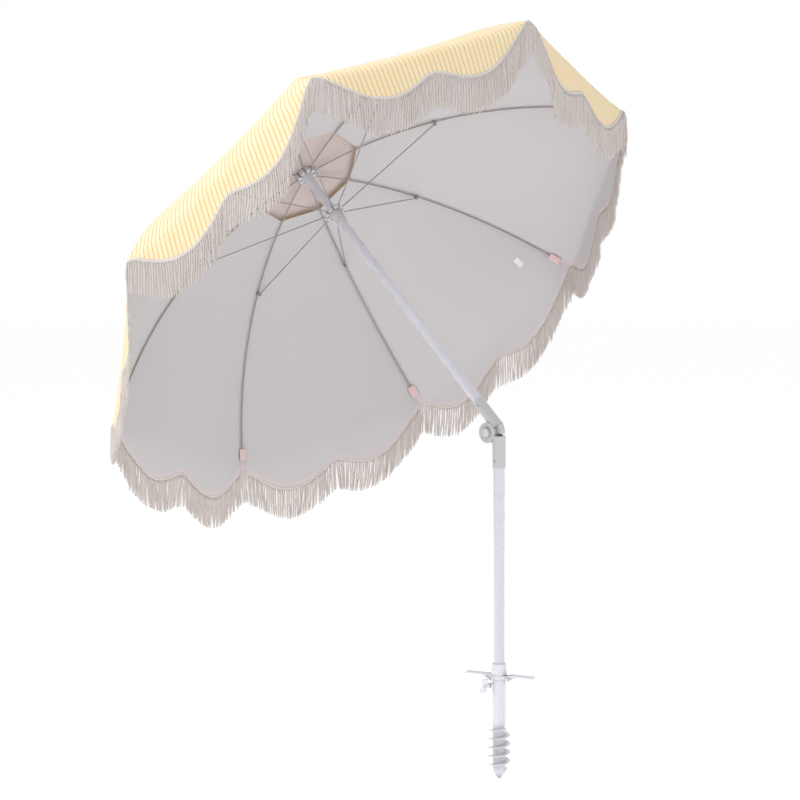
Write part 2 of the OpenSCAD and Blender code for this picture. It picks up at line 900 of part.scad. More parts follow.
// -------------------------------------------------------------------- cloth

module canopy_panel(n) {
    az0 = (n - 1) * 360 / rib_count;
    az1 = n * 360 / rib_count;
    rows = panel_rows + hem_rows;
    inner = [for (j = [0:rows], i = [0:panel_cols])
        let (v = i / panel_cols)
        j <= panel_rows
            ? panel_point(cloth_lift, vent_angle, cusp_angle, j / panel_rows, v, az0, az1, panel_sag)
            : hem_point(cloth_lift, v, j - panel_rows, az0, az1)];
    across = [for (j = [0:rows], i = [0:panel_cols])
        let (v = i / panel_cols,
             w = j / panel_rows)
        j < panel_rows
            ? outward(vent_angle + (cusp_angle - vent_angle) * w, (az0 + az1) / 2)
            : hem_normal(v, max(1, j - panel_rows), az0, az1)];
    outer = [for (k = [0:len(inner) - 1]) inner[k] + cloth_t * across[k]];
    color(cloth_yellow)
        upper_frame()
            polyhedron(points = concat(inner, outer), faces = sheet_faces(panel_cols, rows),
                       convexity = 10);
}

// Vent cap: an eight-sided shallow dome over the vent, clamped under the finial
module vent_cap() {
    cols = 4 * rib_count;
    rows = 5;
    cap_angle = asin(cap_r / rib_arc_r);
    neck_angle = asin((neck_r + 1) / rib_arc_r);
    pts = [for (side = [0, 1], j = [0:rows], i = [0:cols - 1])
        let (turn = i * 360 / cols,
             k = floor(turn / 45) * 45,
             v = (turn - k) / 45,
             angle = neck_angle + (cap_angle - neck_angle) * j / rows,
             left = dome(cap_lift, angle, k),
             right = dome(cap_lift, angle, k + 45),
             round = dome(cap_lift, angle, turn),
             flat = left + v * (right - left),
             p = round + (flat - round) * j / rows)
        p + (side * cloth_t + cap_rise * pow(j / rows, 2)) * [0, 0, 1]];
    n = cols * (rows + 1);
    faces = concat(
        [for (j = [0:rows - 1], i = [0:cols - 1])
            [j * cols + i, (j + 1) * cols + i, (j + 1) * cols + (i + 1) % cols,
             j * cols + (i + 1) % cols]],
        [for (j = [0:rows - 1], i = [0:cols - 1])
            [n + j * cols + i, n + j * cols + (i + 1) % cols,
             n + (j + 1) * cols + (i + 1) % cols, n + (j + 1) * cols + i]],
        [for (i = [0:cols - 1]) [i, (i + 1) % cols, n + (i + 1) % cols, n + i]],
        [for (i = [0:cols - 1])
            [rows * cols + i, n + rows * cols + i, n + rows * cols + (i + 1) % cols,
             rows * cols + (i + 1) % cols]]);
    color(cloth_yellow)
        upper_frame()
            polyhedron(points = pts, faces = faces, convexity = 10);
}

// Fringe: a plain curtain that hangs straight down from the hem of every panel
module fringe() {
    color(fringe_cream)
        upper_frame()
            for (n = [1:rib_count]) {
                az0 = (n - 1) * 360 / rib_count;
                az1 = n * 360 / rib_count;
                hem = [for (i = [0:panel_cols])
                    hem_point(cloth_lift, i / panel_cols, hem_rows, az0, az1)];
                thick = fringe_t / 2 * unit(cross(down, hem[panel_cols] - hem[0]));
                pts = [for (side = [-1, 1], d = [fringe_gap, fringe_len], i = [0:panel_cols])
                    hem[i] + d * down + side * thick];
                polyhedron(points = pts, faces = sheet_faces(panel_cols, 1), convexity = 10);
            }
}

// Pockets that hold the ribs' tips, on the inside of the cloth
module rib_pockets() {
    color("#E3C8C8")
        upper_frame()
            for (i = [0:rib_count - 1])
                rotate([0, 0, i * 360 / rib_count])
                    translate([rib_tip_r, 0, rib_height(rib_tip_r)])
                        rotate([0, tip_angle, 0])
                            translate([-30, -12.5, -rib_d / 2 - 2.6])
                                cube([38, 25, 1.2]);
}

// Frame on a panel: Z out of the cloth, X down its arc, at v across and w down
module cloth_frame(n, v, w) {
    az0 = (n - 1) * 360 / rib_count;
    az1 = n * 360 / rib_count;
    translate(panel_point(cloth_lift, vent_angle, cusp_angle, w, v, az0, az1, panel_sag))
        rotate([0, 0, (az0 + az1) / 2])
            rotate([0, vent_angle + (cusp_angle - vent_angle) * w, 0])
                children();
}

// Closing strap, sewn on the outside of a panel
module tie_strap() {
    color(cloth_yellow)
        upper_frame()
            cloth_frame(strap_panel, 0.25, 0.8)
                translate([-strap_len / 2, -strap_w / 2, cloth_t + patch_gap])
                    cube([strap_len, strap_w, strap_t]);
}

// Blank care tag inside the canopy
module care_tag() {
    color("#F4F3F3")
        upper_frame()
            cloth_frame(tag_panel, 0.12, 0.85)
                translate([-tag_len / 2, -tag_w / 2, -tag_t - tag_gap])
                    cube([tag_len, tag_w, tag_t]);
}

anchor_tube();
anchor_auger();
handle_ring();
handle_right();
handle_left();
handle_pins();
clamp_insert();
clamp_stud();
clamp_wing();
lower_pole();
pole_end_plug();
lower_knuckle();
hinge_bolt();
hinge_nut();
push_button();
button_spring();
lower_screw();
upper_knuckle();
upper_screw();
upper_pole();
crown_hub();
crown_ring();
finial_cap();
runner_hub();
runner_ring();
runner_catch();
catch_pin();
for (n = [1:rib_count]) {
    rib(n);
    stretcher(n);
    canopy_panel(n);
}
vent_cap();
fringe();
rib_pockets();
tie_strap();
care_tag();
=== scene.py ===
"""Beach umbrella: cloth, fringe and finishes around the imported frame."""

import math
import random

import bmesh
import bpy
from bpy.props import FloatProperty, FloatVectorProperty, IntProperty, PointerProperty
from mathutils import Matrix, Vector, noise


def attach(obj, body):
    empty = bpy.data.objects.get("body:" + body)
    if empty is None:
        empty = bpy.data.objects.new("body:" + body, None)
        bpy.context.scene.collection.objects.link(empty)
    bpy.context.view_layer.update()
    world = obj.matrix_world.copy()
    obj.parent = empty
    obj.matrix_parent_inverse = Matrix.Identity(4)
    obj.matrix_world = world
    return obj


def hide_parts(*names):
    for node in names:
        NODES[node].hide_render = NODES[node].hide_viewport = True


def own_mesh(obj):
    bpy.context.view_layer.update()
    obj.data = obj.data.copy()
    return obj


bl_info = {
    "name": "Beach umbrella",
    "version": (1, 0, 0),
    "blender": (4, 5, 0),
    "location": "3D View > Sidebar > Umbrella",
    "description": "Cloth, fringe and finishes for a tilting beach umbrella",
    "category": "Object",
}

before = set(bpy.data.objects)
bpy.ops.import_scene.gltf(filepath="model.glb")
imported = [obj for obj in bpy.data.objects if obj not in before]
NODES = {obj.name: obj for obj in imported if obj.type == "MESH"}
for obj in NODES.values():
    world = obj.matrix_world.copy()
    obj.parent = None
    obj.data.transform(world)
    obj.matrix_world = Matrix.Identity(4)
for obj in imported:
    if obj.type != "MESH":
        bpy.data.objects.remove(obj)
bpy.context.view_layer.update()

# Canopy frame: Z runs up the upper pole, which leans towards -X about the hinge
TILT = math.radians(47.5)
HINGE = Vector((-0.030, 0.0, 0.956))
LEAN = (
    Matrix.Translation(HINGE)
    @ Matrix.Rotation(-TILT, 4, "Y")
    @ Matrix.Translation((-HINGE.x, 0.0, 0.0))
)
DOWN = Vector((-math.sin(TILT), 0.0, -math.cos(TILT)))

# Direction in which the camera looks
LOOK = (-0.70925, 0.70496, 0.0)

# Sizes that the frame and the cloth share, in metres
RIBS = 8
SECTOR = 2 * math.pi / RIBS
ARC = 1.1716
RING = 0.024
CROWN = 1.072
APEX = CROWN + RING * RING / (2 * ARC)
RIB_TIP = 0.862
HEM_AT_RIB = 0.886
VENT = 0.180
CAP_EDGE = 0.300
CAP_RISE = 0.040
CAP_LIFT = 0.010
CAP_NECK = 0.0155
CLOTH_LIFT = 0.0055
SAG = 0.010
LOBE = 0.076
MID = 0.073
HEM_MIN = 0.006
HEM_SOFT = 0.28
HANG = 0.92
BEND = 0.035
HEM_STIFF = 0.6
HEM_SIDE = math.radians(305)
HEM_SPREAD = 0.6
CUSP_ANGLE = math.asin(HEM_AT_RIB / ARC)
VENT_ANGLE = math.asin(VENT / ARC)
SEAM_HALF = 0.0055
SEAM_STEPS = (0.0, 0.0035, SEAM_HALF, 0.0068)
SEAM_RISE = 0.0005
SEAM_SOFT = 0.003
HEM_TAPE = 0.016
SEAM_TAPE = 0.0095

# Mesh rows and columns of a gore, and of a gore of the vent cap
GORE_ROWS = 44
HEM_ROWS = 18
CAP_ROWS = 20
CAP_COLUMNS = 10
CAP_WAVE = 0.004

# Sewn-on patches, length by width, and the thread of their weaves
POCKET = (0.038, 0.025)
STRAP = (0.070, 0.022)
TAG = (0.034, 0.020)
PATCH_THICKNESS = 0.0009
TWILL_THREAD = 0.0012
SATIN_THREAD = 0.0008
CLOTH_THREAD = 0.0011
LINING_THREAD = 0.0014

# One cord of the fringe: a low-poly twist, and how it leaves the braid
CORD_STEPS = 8
CORD_SIDES = 5
CORD_TURN = math.radians(36)
CORD_TWIST = 17
CORD_STEM = 0.006
CORD_LEAD = 0.010
HEM_SAMPLES = 60
BRAID_TONE = 0.35


def hex_linear(colour):
    """Linear RGBA of an sRGB hex colour."""
    parts = [int(colour[i : i + 2], 16) / 255 for i in (1, 3, 5)]
    return [p / 12.92 if p <= 0.04045 else ((p + 0.055) / 1.055) ** 2.4 for p in parts] + [1.0]


def shade(name, description, colour):
    """A colour setting whose default is an sRGB hex value."""
    return FloatVectorProperty(
        name=name,
        description=description,
        subtype="COLOR",
        size=4,
        min=0.0,
        max=1.0,
        default=hex_linear(colour),
    )


# ------------------------------------------------------------------ settings


class ClothSettings(bpy.types.PropertyGroup):
    """Sizes and colours of the canopy's cloth."""

    thickness: FloatProperty(
        name="Cloth thickness", description="Thickness of the coated cloth",
        default=0.0009, min=0.0003, max=0.002, unit="LENGTH", precision=4,
    )
    stripe_pitch: FloatProperty(
        name="Stripe pitch", description="Distance between two woven stripes",
        default=0.0142, min=0.004, max=0.05, unit="LENGTH", precision=4,
    )
    stripe_width: FloatProperty(
        name="Stripe width", description="Width of one woven stripe",
        default=0.0026, min=0.0005, max=0.02, unit="LENGTH", precision=4,
    )
    wrinkle: FloatProperty(
        name="Wrinkle depth", description="Depth of the puckers near the hem",
        default=0.0030, min=0.0, max=0.02, unit="LENGTH", precision=4,
    )
    columns: IntProperty(
        name="Columns", description="Mesh columns on each side of a rib",
        default=26, min=8, max=60,
    )
    ground: shade("Ground", "Colour of the cloth between its stripes", "#FCEECD")
    stripe: shade("Stripe", "Colour of the woven stripes", "#EDB953")
    lining: shade("Lining", "Colour of the coated inside", "#D2D0D2")
    # Painted light: the cap's lining is tinted pinker than the main lining, standing in for light
    # that comes through the cap
    cap_lining: shade("Cap lining", "Colour of the vent cap's inside", "#D8CECC")
    tape: shade("Tape", "Colour of the hem and seam tape on the inside", "#DCD1D4")
    pocket: shade("Pocket", "Colour of the rib pockets", "#E3C8C8")
    tag: shade("Tag", "Colour of the care tag", "#F4F3F3")


class FringeSettings(bpy.types.PropertyGroup):
    """Sizes and colour of the fringe."""

    length: FloatProperty(
        name="Cord length", description="Length of a fringe cord below its braid",
        default=0.094, min=0.02, max=0.2, unit="LENGTH",
    )
    spacing: FloatProperty(
        name="Cord spacing", description="Distance between two cords along the hem",
        default=0.0082, min=0.003, max=0.02, unit="LENGTH", precision=4,
    )
    diameter: FloatProperty(
        name="Cord diameter", description="Diameter of a twisted cord",
        default=0.0070, min=0.002, max=0.01, unit="LENGTH", precision=4,
    )
    cotton: shade("Cotton", "Colour of the fringe's yarn", "#EFE3DA")


class FinishSettings(bpy.types.PropertyGroup):
    """Colours of the plastic, paint and metal."""

    anchor: shade("Anchor", "Colour of the sand anchor's plastic", "#E8E8F0")
    pole: shade("Poles", "Colour of the poles' paint", "#DCDBE3")
    knuckle: shade("Knuckle", "Colour of the tilt knuckle's plastic", "#C9C9CB")
    hub: shade("Hubs", "Colour of the crown hub, the runner and the finial", "#D9D7D8")
    button: shade("Button", "Colour of the push button", "#D5D3D8")
    wire: shade("Wire", "Colour of the ribs' and stretchers' plating", "#A9A7A4")


class StageSettings(bpy.types.PropertyGroup):
    """Camera and light."""

    lens: FloatProperty(
        name="Lens", description="Focal length of the camera",
        default=83.4, min=20.0, max=200.0, unit="CAMERA",
    )
    key: FloatProperty(
        name="Key light", description="Power of the large soft light",
        default=150.0, min=0.0, max=2000.0, unit="POWER",
    )
    dim: FloatProperty(
        name="Camera side", description="Strength of the surroundings on the camera's side",
        default=0.42, min=0.0, max=1.0, subtype="FACTOR",
    )
    glow: FloatProperty(
        name="Floor glow", description="Light that the floor gives off by itself",
        default=0.34, min=0.0, max=1.0, subtype="FACTOR",
    )
    floor: shade("Floor", "Colour of the floor", "#F8F8F8")


SETTINGS = {
    "umbrella_cloth": ClothSettings,
    "umbrella_fringe": FringeSettings,
    "umbrella_finish": FinishSettings,
    "umbrella_stage": StageSettings,
}


# ------------------------------------------------------------------ materials


def add_node(tree, kind, settings=(), inputs=(), links=()):
    """Adds a node, with its settings, its input values and the links into it."""
    made = tree.nodes.new(kind)
    for name, value in dict(settings).items():
        setattr(made, name, value)
    for name, value in dict(inputs).items():
        made.inputs[name].default_value = value
    for name, source in dict(links).items():
        tree.links.new(source, made.inputs[name])
    return made


def new_material(name, colour, **values):
    """A material with one Principled shader: (material, its node tree, the shader)."""
    material = bpy.data.materials.new(name)
    material.use_nodes = True
    tree = material.node_tree
    tree.nodes.clear()
    shader = add_node(tree, "ShaderNodeBsdfPrincipled", inputs={"Base Color": colour, **values})
    add_node(tree, "ShaderNodeOutputMaterial", links={"Surface": shader.outputs[0]})
    return material, tree, shader


def object_coordinates(tree):
    return add_node(tree, "ShaderNodeTexCoord").outputs["Object"]


def bump(tree, shader, height, depth, strength=1.0):
    """Bumps the shader's surface by a height from 0 to 1 that stands for depth metres."""
    normal = add_node(
        tree, "ShaderNodeBump",
        inputs={"Strength": strength, "Distance": depth}, links={"Height": height},
    )
    tree.links.new(normal.outputs[0], shader.inputs["Normal"])


def let_through(tree, shader, colour, share):
    """Thin cloth: a share of the light that falls on one side leaves by the other."""
    through = add_node(tree, "ShaderNodeBsdfTranslucent", inputs={"Color": colour})
    both = add_node(
        tree, "ShaderNodeMixShader", inputs={0: share},
        links={1: shader.outputs[0], 2: through.outputs[0]},
    )
    tree.links.new(both.outputs[0], tree.nodes["Material Output"].inputs["Surface"])


def paint_corner_shade(tree, colour, reach, least):
    """Painted shade: the colour, darker by degrees where the surface is closed in within a short
    reach.
    """
    open_share = add_node(
        tree, "ShaderNodeAmbientOcclusion", {"samples": 6}, {"Distance": reach}
    )
    dark = [c * least for c in colour[:3]] + [1.0]
    return mix(tree, open_share.outputs["AO"], dark, colour)


def vary_roughness(tree, shader, low, high, scale):
    """Roughness that drifts between two values over patches of 1 / scale metres."""
    patches = add_node(
        tree, "ShaderNodeTexNoise",
        inputs={"Scale": scale, "Detail": 3.0}, links={"Vector": object_coordinates(tree)},
    )
    spread = add_node(
        tree, "ShaderNodeMapRange",
        inputs={"From Min": 0.3, "From Max": 0.7, "To Min": low, "To Max": high},
        links={"Value": patches.outputs[0]},
    )
    tree.links.new(spread.outputs[0], shader.inputs["Roughness"])


def moulded_plastic(name, colour, grain, low, high):
    """Injection-moulded plastic: an even colour with painted shade in its corners, a fine
    spark-eroded grain and a soft shine.
    """
    material, tree, shader = new_material(name, colour, IOR=1.49)
    vary_roughness(tree, shader, low, high, 24.0)
    cells = add_node(
        tree, "ShaderNodeTexNoise",
        inputs={"Scale": 1 / grain, "Detail": 2.0}, links={"Vector": object_coordinates(tree)},
    )
    bump(tree, shader, cells.outputs[0], 0.00008, 0.5)
    # Painted shade: the base colour darkens where the plastic is closed in by nearby surfaces
    tree.links.new(paint_corner_shade(tree, colour, 0.022, 0.42), shader.inputs["Base Color"])
    return material


def stripe_mask(tree, pitch, width):
    """1 on the woven stripes and 0 between them, across the cloth's own UV."""
    uv = add_node(tree, "ShaderNodeUVMap", {"uv_map": "cloth"})
    parts = add_node(tree, "ShaderNodeSeparateXYZ", links={0: uv.outputs[0]})
    away = add_node(
        tree, "ShaderNodeMath", {"operation": "PINGPONG"},
        {1: pitch / 2}, {0: parts.outputs[0]},
    )
    return uv, add_node(
        tree, "ShaderNodeMapRange",
        inputs={"From Min": width * 0.32, "From Max": width * 0.75, "To Min": 1.0, "To Max": 0.0},
        links={"Value": away.outputs[0]},
    ).outputs[0]


def plain_weave(tree, uv, thread):
    """Height of a plain weave: two crossed rows of threads."""
    rows = [
        add_node(
            tree, "ShaderNodeTexWave",
            {"wave_type": "BANDS", "bands_direction": axis, "wave_profile": "SIN"},
            {"Scale": math.pi / 10 / thread, "Distortion": 0.0},
            {"Vector": uv.outputs[0]},
        ).outputs[1]
        for axis in ("X", "Y")
    ]
    return add_node(
        tree, "ShaderNodeMath", {"operation": "MAXIMUM"}, links={0: rows[0], 1: rows[1]}
    ).outputs[0]


def near_edge(tree, attribute, reach, soft=0.0006):
    """1 where a length attribute of the piece is within reach of zero."""
    made = add_node(tree, "ShaderNodeAttribute", {"attribute_name": attribute})
    size = add_node(
        tree, "ShaderNodeMath", {"operation": "ABSOLUTE"}, links={0: made.outputs["Fac"]}
    )
    return add_node(
        tree, "ShaderNodeMapRange",
        inputs={"From Min": reach - soft, "From Max": reach + soft, "To Min": 1.0, "To Max": 0.0},
        links={"Value": size.outputs[0]},
    ).outputs[0]


def mix(tree, share, a, b):
    """Mix of two colours or colour sockets."""
    values, links = {}, {}
    for index, value in ((0, share), (6, a), (7, b)):
        (links if isinstance(value, bpy.types.NodeSocket) else values)[index] = value
    return add_node(tree, "ShaderNodeMix", {"data_type": "RGBA"}, values, links).outputs[2]


def striped_polyester(cloth):
    """Yarn-dyed polyester: thin amber stripes on butter yellow, matte with a slight sheen."""
    material, tree, shader = new_material(
        "striped_polyester", cloth.ground, Roughness=0.78,
        **{"Sheen Weight": 0.15, "Specular IOR Level": 0.25}
    )
    uv, mask = stripe_mask(tree, cloth.stripe_pitch, cloth.stripe_width)
    slub = add_node(
        tree, "ShaderNodeTexNoise", inputs={"Scale": 9.0, "Detail": 4.0, "Roughness": 0.6},
        links={"Vector": uv.outputs[0]},
    )
    drift = add_node(
        tree, "ShaderNodeMapRange",
        inputs={"From Min": 0.35, "From Max": 0.65, "To Min": 0.0, "To Max": 0.22},
        links={"Value": slub.outputs[0]},
    )
    ground = mix(tree, drift.outputs[0], cloth.ground, hex_linear("#F7DFA6"))
    strength = add_node(
        tree, "ShaderNodeMath", {"operation": "MULTIPLY"}, {1: 0.85}, {0: mask}
    )
    colour = mix(tree, strength.outputs[0], ground, cloth.stripe)
    seam = add_node(
        tree, "ShaderNodeMath", {"operation": "MULTIPLY"}, {1: 0.25},
        {0: near_edge(tree, "from_seam", SEAM_HALF)},
    )
    colour = mix(tree, seam.outputs[0], colour, hex_linear("#E9B44C"))
    tree.links.new(colour, shader.inputs["Base Color"])
    bump(tree, shader, plain_weave(tree, uv, CLOTH_THREAD), 0.00012, 0.6)
    let_through(tree, shader, hex_linear("#F5C77A"), 0.12)
    return material


def coated_lining(name, cloth, film, glow, share):
    """The cloth's coated side: a matte warm grey film through which the stripes barely show."""
    material, tree, shader = new_material(
        name, film, Roughness=0.7, **{"Specular IOR Level": 0.3}
    )
    uv, mask = stripe_mask(tree, cloth.stripe_pitch, cloth.stripe_width)
    faint = add_node(tree, "ShaderNodeMath", {"operation": "MULTIPLY"}, {1: 0.12}, {0: mask})
    colour = mix(tree, faint.outputs[0], film, hex_linear("#B9AFA8"))
    cloud = add_node(
        tree, "ShaderNodeTexNoise", inputs={"Scale": 4.0, "Detail": 3.0},
        links={"Vector": uv.outputs[0]},
    )
    patch = add_node(
        tree, "ShaderNodeMapRange",
        inputs={"From Min": 0.4, "From Max": 0.7, "To Min": 0.0, "To Max": 0.25},
        links={"Value": cloud.outputs[0]},
    )
    colour = mix(tree, patch.outputs[0], colour, hex_linear("#D8D2D2"))
    taped = add_node(
        tree, "ShaderNodeMath", {"operation": "MAXIMUM"},
        links={
            0: near_edge(tree, "to_hem", HEM_TAPE),
            1: near_edge(tree, "from_seam", SEAM_TAPE),
        },
    )
    colour = mix(tree, taped.outputs[0], colour, cloth.tape)
    tree.links.new(colour, shader.inputs["Base Color"])
    weave = plain_weave(tree, uv, LINING_THREAD)
    height = add_node(
        tree, "ShaderNodeMath", {"operation": "MULTIPLY_ADD"},
        {1: 0.25}, {0: weave, 2: taped.outputs[0]},
    )
    bump(tree, shader, height.outputs[0], 0.0004, 0.6)
    let_through(tree, shader, glow, share)
    return material


def cotton_cord(fringe):
    """Two-ply cotton cord: soft matte strands that wind round each other, with painted shade in the
    grooves between them.
    """
    material, tree, shader = new_material(
        "twisted_cotton", fringe.cotton, Roughness=0.9,
        **{"Sheen Weight": 0.3, "Specular IOR Level": 0.2}
    )
    uv = add_node(tree, "ShaderNodeUVMap", {"uv_map": "ply"})
    parts = add_node(tree, "ShaderNodeSeparateXYZ", links={0: uv.outputs[0]})
    turn = add_node(
        tree, "ShaderNodeMath", {"operation": "ADD"},
        links={0: parts.outputs[0], 1: parts.outputs[1]},
    )
    strand = add_node(
        tree, "ShaderNodeMath", {"operation": "PINGPONG"}, {1: 0.5}, {0: turn.outputs[0]}
    )
    ply_relief_and_groove_shade = add_node(
        tree, "ShaderNodeMapRange",
        inputs={"From Min": 0.0, "From Max": 0.3, "To Min": 0.0, "To Max": 1.0},
        links={"Value": strand.outputs[0]},
    )
    tone = add_node(tree, "ShaderNodeAttribute", {"attribute_name": "tone"})
    yarn = mix(tree, tone.outputs["Fac"], hex_linear("#FFFDFB"), hex_linear("#FAF1EC"))
    # Painted shade: the yarn turns a darker grey-brown down in the grooves between the plies
    colour = mix(tree, ply_relief_and_groove_shade.outputs[0], hex_linear("#B3A49A"), yarn)
    tree.links.new(colour, shader.inputs["Base Color"])
    bump(tree, shader, ply_relief_and_groove_shade.outputs[0], 0.0010, 0.6)
    let_through(tree, shader, hex_linear("#F4EAE6"), 0.25)
    return material


def powder_coat(name, colour):
    """Powder-coated steel tube: an even gloss with a slight orange peel."""
    material, tree, shader = new_material(
        name, colour, Roughness=0.28, IOR=1.5, **{"Coat Weight": 0.35, "Coat Roughness": 0.12}
    )
    peel = add_node(
        tree, "ShaderNodeTexNoise", inputs={"Scale": 420.0, "Detail": 1.0},
        links={"Vector": object_coordinates(tree)},
    )
    bump(tree, shader, peel.outputs[0], 0.00006, 0.35)
    vary_roughness(tree, shader, 0.24, 0.34, 18.0)
    return material


def plated_wire(name, colour):
    """Drawn steel wire, grey-plated: a dull metal with fine draw lines and duller spots."""
    material, tree, shader = new_material(name, colour, Metallic=0.75)
    vary_roughness(tree, shader, 0.38, 0.58, 90.0)
    spots = add_node(
        tree, "ShaderNodeTexNoise", inputs={"Scale": 300.0, "Detail": 4.0},
        links={"Vector": object_coordinates(tree)},
    )
    shift = add_node(
        tree, "ShaderNodeMapRange",
        inputs={"From Min": 0.45, "From Max": 0.7, "To Min": 0.0, "To Max": 0.35},
        links={"Value": spots.outputs[0]},
    )
    colour = mix(tree, shift.outputs[0], colour, hex_linear("#86827D"))
    tree.links.new(colour, shader.inputs["Base Color"])
    bump(tree, shader, spots.outputs[0], 0.00005, 0.4)
    return material


def turned_metal(name, colour, rough):
    """Machined metal, such as a screw, nut or insert: bright, with fine turning marks."""
    material, tree, shader = new_material(name, hex_linear(colour), Metallic=1.0)
    vary_roughness(tree, shader, rough, rough + 0.12, 200.0)
    return material


def sewn_cloth(name, colour, thread):
    """A plain woven tape or label, matte, with a visible weave."""
    material, tree, shader = new_material(name, colour, Roughness=0.85, **{"Sheen Weight": 0.2})
    uv = add_node(tree, "ShaderNodeUVMap", {"uv_map": "cloth"})
    bump(tree, shader, plain_weave(tree, uv, thread), 0.00015, 0.6)
    tint = add_node(
        tree, "ShaderNodeTexNoise", inputs={"Scale": 60.0, "Detail": 3.0},
        links={"Vector": uv.outputs[0]},
    )
    share = add_node(
        tree, "ShaderNodeMath", {"operation": "MULTIPLY"}, {1: 0.3}, {0: tint.outputs[0]}
    )
    dark = [c * 0.82 for c in colour[:3]] + [1.0]
    tree.links.new(mix(tree, share.outputs[0], colour, dark), shader.inputs["Base Color"])
    return material


# ------------------------------------------------------------- canopy surface


def dome(lift, angle, azimuth):
    """Point above the ribs' arc, at an angle along the arc and an azimuth."""
    r = (ARC + lift) * math.sin(angle)
    return Vector((
        r * math.cos(azimuth), r * math.sin(azimuth),
        APEX - ARC + (ARC + lift) * math.cos(angle),
    ))


def slope(angle, azimuth):
    """Direction down the arc, away from the crown."""
    return Vector((
        math.cos(angle) * math.cos(azimuth), math.cos(angle) * math.sin(azimuth), -math.sin(angle),
    ))


def outward(angle, azimuth):
    """Direction out of the dome."""
    return Vector((
        math.sin(angle) * math.cos(azimuth), math.sin(angle) * math.sin(azimuth), math.cos(angle),
    ))


def panel_width(lift, angle):
    return 2 * (ARC + lift) * math.sin(angle) * math.sin(SECTOR / 2)


def panel_point(lift, angle, share, v, azimuth):
    """Point of the panel that starts at a rib's azimuth, v across and share down it."""
    left = dome(lift, angle, azimuth)
    right = dome(lift, angle, azimuth + SECTOR)
    sag = SAG * 4 * v * (1 - v) * math.sin(math.pi / 2 * share)
    return left.lerp(right, v) - sag * outward(angle, azimuth + SECTOR / 2)


def hem_depth(v):
    """Depth of the free hem below the straight line between two ribs."""
    lobes = math.sqrt(math.sin(2 * math.pi * v) ** 2 + HEM_SOFT**2) - HEM_SOFT
    return HEM_MIN + LOBE * lobes + MID * math.sin(math.pi * v)


def hem_way(azimuth, run):
    """Direction of the free hem: it leaves the ribs' slope and falls, and round one azimuth
    it is drawn in to the pole."""
    bend = HANG * min(1.0, run / BEND)
    share = (1 + HEM_SPREAD) * math.cos(azimuth - HEM_SIDE) - HEM_SPREAD
    share = HEM_STIFF * max(0.0, share)
    fall = ((1 - share) * DOWN + Vector((0.0, 0.0, -share))).normalized()
    return ((1 - bend) * slope(CUSP_ANGLE, azimuth) + bend * fall).normalized()


def pucker(panel, across, down, to_hem, v):
    """Height of the cloth's wrinkles, which run down the panel and deepen at the hem."""
    seed = 7.3 * panel
    edge = math.exp(-to_hem / 0.16)
    still = min(1.0, 6 * min(v, 1 - v))
    broad = noise.noise(Vector((across * 7 + seed, down * 4, seed)))
    folds = noise.noise(Vector((across * 26 + down * 6, down * 5 + seed, 3.1 + seed)))
    fine = noise.noise(Vector((across * 60 + seed, to_hem * 22, 9.7)))
    return still * (0.55 * broad * (0.35 + edge) + 0.5 * folds * edge + 0.28 * fine * edge * edge)


def panel_column(panel, v, lift, rows, hem_rows, wrinkle):
    """Points from the vent to the hem at v across a panel: (place, down, to_hem) for each row."""
    azimuth = (panel - 1) * SECTOR
    middle = azimuth + SECTOR / 2
    points, normals, downs = [], [], []
    for j in range(rows + 1):
        share = j / rows
        angle = VENT_ANGLE + (CUSP_ANGLE - VENT_ANGLE) * share
        points.append(panel_point(lift, angle, share, v, azimuth))
        normals.append(outward(angle, middle))
        downs.append((ARC + lift) * angle)
    depth = hem_depth(v)
    step = depth / hem_rows
    around = Vector((-math.sin(middle), math.cos(middle), 0.0))
    for j in range(hem_rows):
        way = hem_way(azimuth + SECTOR * v, (j + 0.5) * step)
        points.append(points[-1] + step * way)
        normals.append(way.cross(around).normalized())
        downs.append(downs[-1] + step)
    total = downs[-1]
    made = []
    for point, normal, down in zip(points, normals, downs):
        across = (v - 0.5) * panel_width(lift, min(CUSP_ANGLE, down / (ARC + lift)))
        height = wrinkle * pucker(panel, across, down, total - down, v)
        made.append((point + height * normal, down, total - down))
    return made


def seam_offsets(half_width, columns):
    """Distances from the rib's seam: its flat-felled width, then even steps to mid-panel."""
    first = list(SEAM_STEPS)
    rest = columns - len(first) + 1
    return first + [
        first[-1] + (half_width - first[-1]) * (k + 1) / rest for k in range(rest)
    ]


# -------------------------------------------------------------------- pieces


def finished(name, bm, materials, body, replaced=()):
    """Makes a piece from a bmesh in the canopy frame, and hangs it on its CAD body."""
    bmesh.ops.transform(bm, matrix=LEAN, verts=bm.verts)
    mesh = bpy.data.meshes.new(name)
    bm.to_mesh(mesh)
    bm.free()
    for material in materials:
        mesh.materials.append(material)
    piece = bpy.data.objects.new(name, mesh)
    bpy.context.scene.collection.objects.link(piece)
    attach(piece, body)
    if replaced:
        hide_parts(*replaced)
    return piece


def fold_with(piece):
    """Gives the piece a mesh of its own."""
    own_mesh(piece)


def thicken(piece, thickness):
    """Gives a sheet its thickness, inwards, with the second material on its inside."""
    solid = piece.modifiers.new("thickness", "SOLIDIFY")
    solid.thickness = thickness
    solid.offset = -1
    solid.material_offset = 1
    solid.material_offset_rim = 0


def sharpen_border(bm):
    for edge in bm.edges:
        if edge.is_boundary:
            edge.smooth = False
    for face in bm.faces:
        face.smooth = True


def material_named(name):
    return bpy.data.materials[name]


